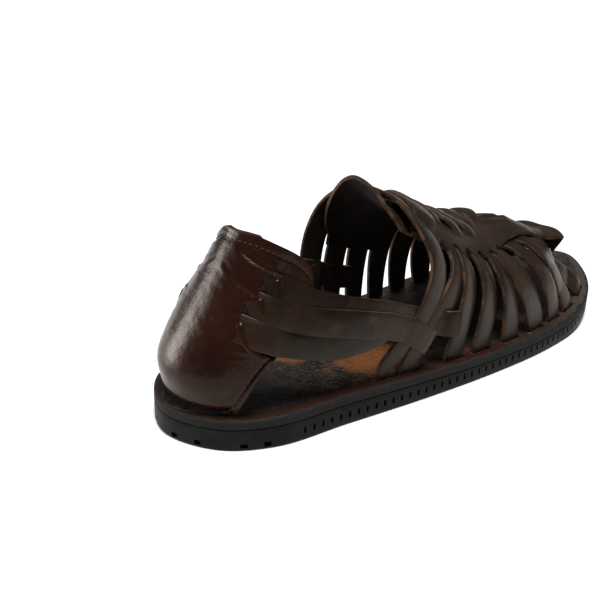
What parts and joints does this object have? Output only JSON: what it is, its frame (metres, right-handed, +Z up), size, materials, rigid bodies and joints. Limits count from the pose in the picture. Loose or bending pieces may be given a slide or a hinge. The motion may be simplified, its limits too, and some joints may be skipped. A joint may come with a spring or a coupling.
{
  "type": "huarache sandal",
  "caption": "Woven leather huarache sandal for the right foot: braided strap upper, slit heel counter, tongue, leather footbed and rubber outsole",
  "frame": {"origin": "on the floor under the middle of the sandal's box", "axes": "+X to the toe along the sole, -Y to the outer side and +Y to the inner side of this right shoe, +Z up"},
  "size_m": [0.2896, 0.0989, 0.1038],
  "materials": {
    "outsole": "matt black rubber, faintly dusty",
    "insole": "pebbled dark brown leather with an orange brown patina and a black edge",
    "upper": "deep brown oiled leather with raw orange brown edges",
    "heel_counter": "glossy reddish dark brown leather",
    "tongue": "dark suede with a raw brown edge"
  },
  "bodies": {
    "root": {"outsole": "outsole", "insole": "insole", "upper": "upper", "heel_counter": "heel_counter", "tongue": "tongue"}
  },
  "joints": []
}
